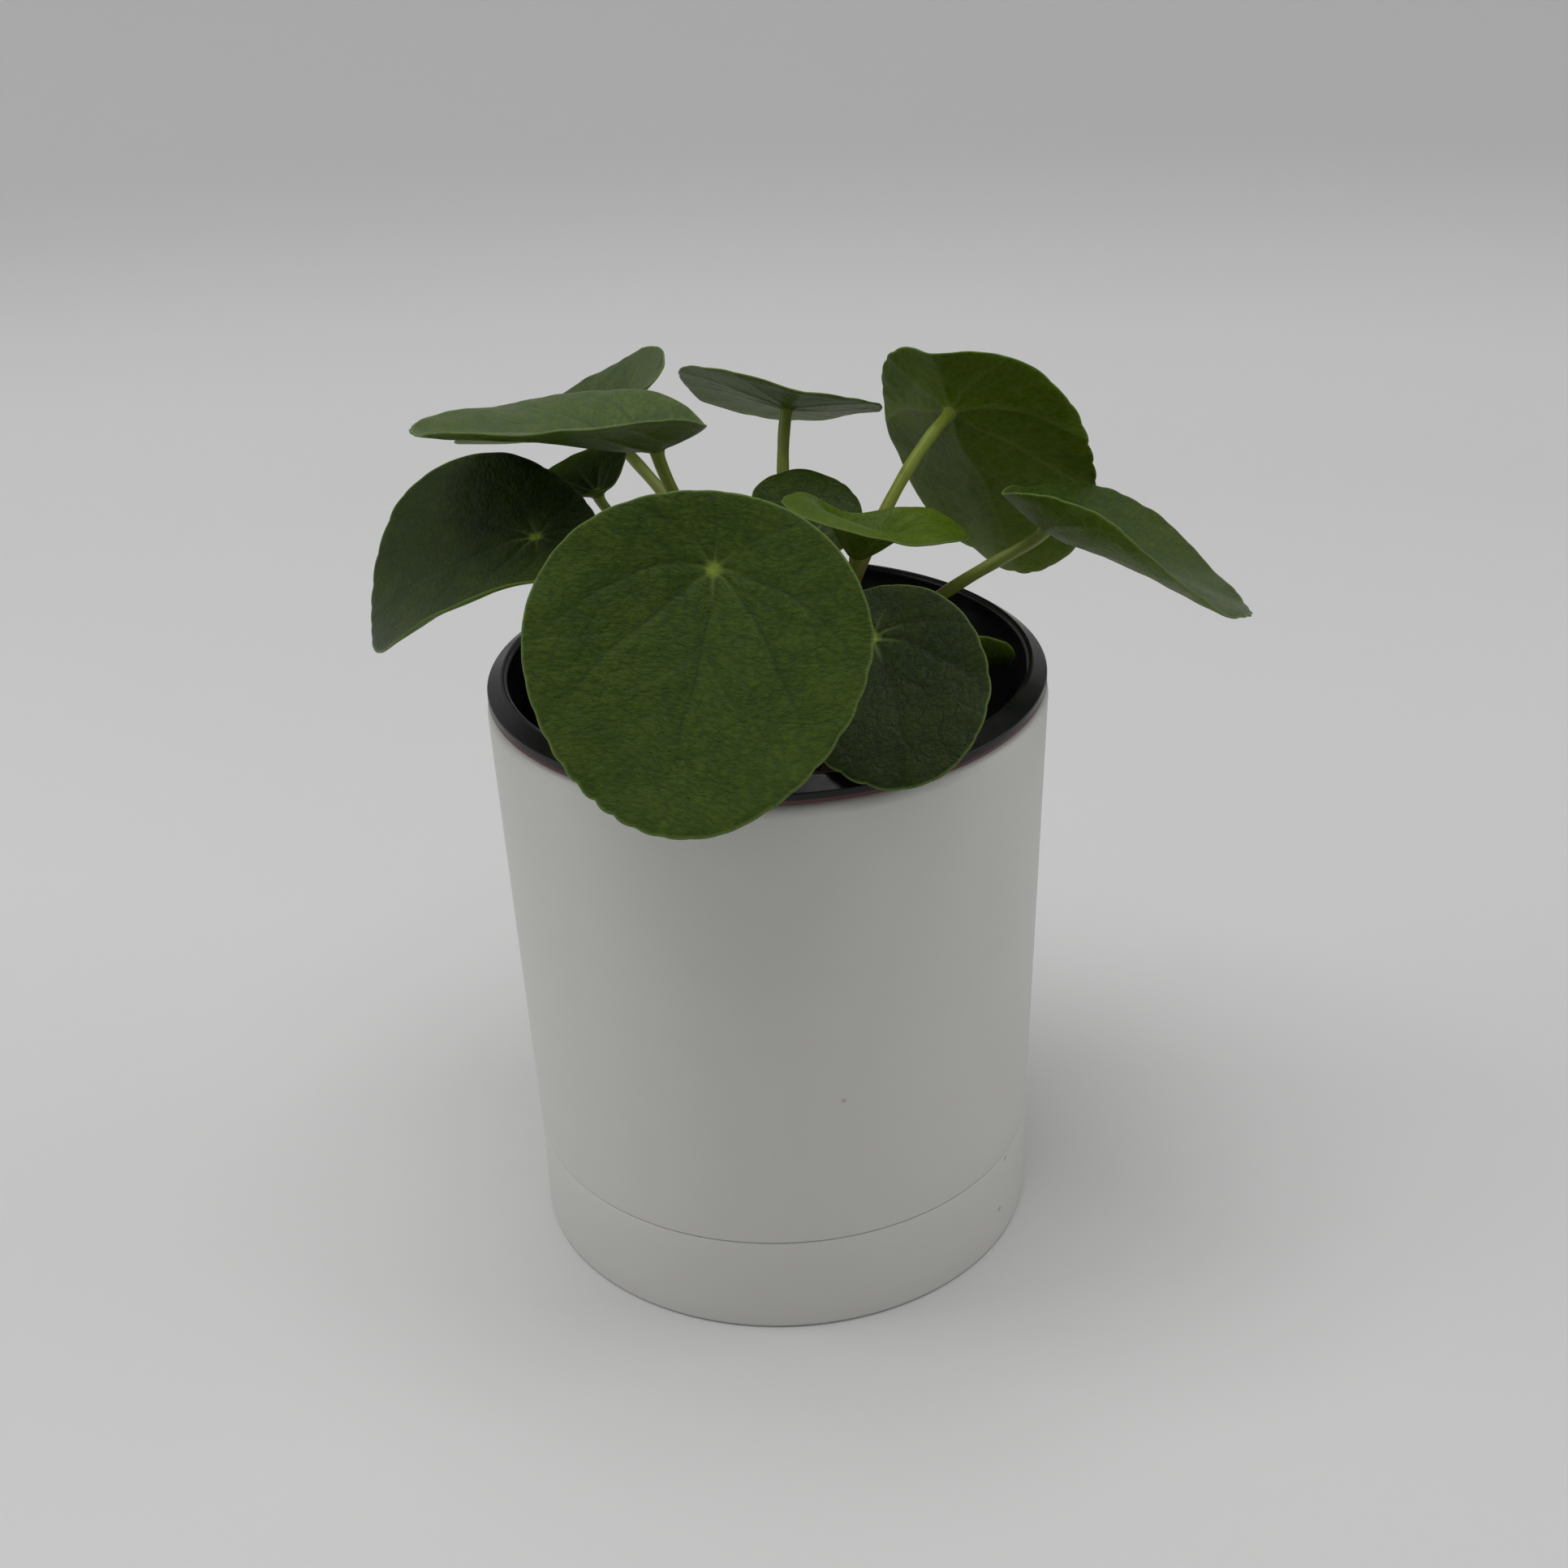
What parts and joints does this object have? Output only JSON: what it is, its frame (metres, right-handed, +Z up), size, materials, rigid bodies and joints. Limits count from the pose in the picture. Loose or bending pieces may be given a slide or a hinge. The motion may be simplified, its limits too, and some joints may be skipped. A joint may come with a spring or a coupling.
{
  "type": "potted money plant",
  "caption": "Small Pilea peperomioides with round peltate leaves in a black nursery pot, set in a white tapered planter on a flush saucer.",
  "frame": {"origin": "centre of the saucer's flat underside, on the resting surface", "axes": "+Z up along the planter's axis, +X to the right and +Y to the back, with the large front leaf towards -Y"},
  "size_m": [0.1666, 0.1524, 0.1776],
  "materials": {
    "white_plastic": "satin off-white moulded plastic",
    "black_plastic": "black thermoformed plastic, brick red outside",
    "potting_mix": "dark damp potting mix",
    "stem_bark": "brown corky stem with leaf scars",
    "leaf_green": "smooth fleshy leaf, semi-gloss above, paler below",
    "stalk_green": "smooth yellow-green stalk, brownish towards the stem"
  },
  "bodies": {
    "root": {"saucer": "white_plastic", "outer_pot": "white_plastic", "nursery_pot": "black_plastic", "potting_soil": "potting_mix", "main_stem": "stem_bark", "leaf_front": "leaf_green", "petiole_front": "stalk_green", "leaf_left": "leaf_green", "petiole_left": "stalk_green", "leaf_upper_left": "leaf_green", "petiole_upper_left": "stalk_green", "leaf_back_left": "leaf_green", "petiole_back_left": "stalk_green", "leaf_small_left": "leaf_green", "petiole_small_left": "stalk_green", "leaf_back": "leaf_green", "petiole_back": "stalk_green", "leaf_middle": "leaf_green", "petiole_middle": "stalk_green", "leaf_young": "leaf_green", "petiole_young": "stalk_green", "leaf_upper_right": "leaf_green", "petiole_upper_right": "stalk_green", "leaf_right": "leaf_green", "petiole_right": "stalk_green", "leaf_lower_right": "leaf_green", "petiole_lower_right": "stalk_green", "leaf_bud": "leaf_green", "petiole_bud": "stalk_green"}
  },
  "joints": []
}
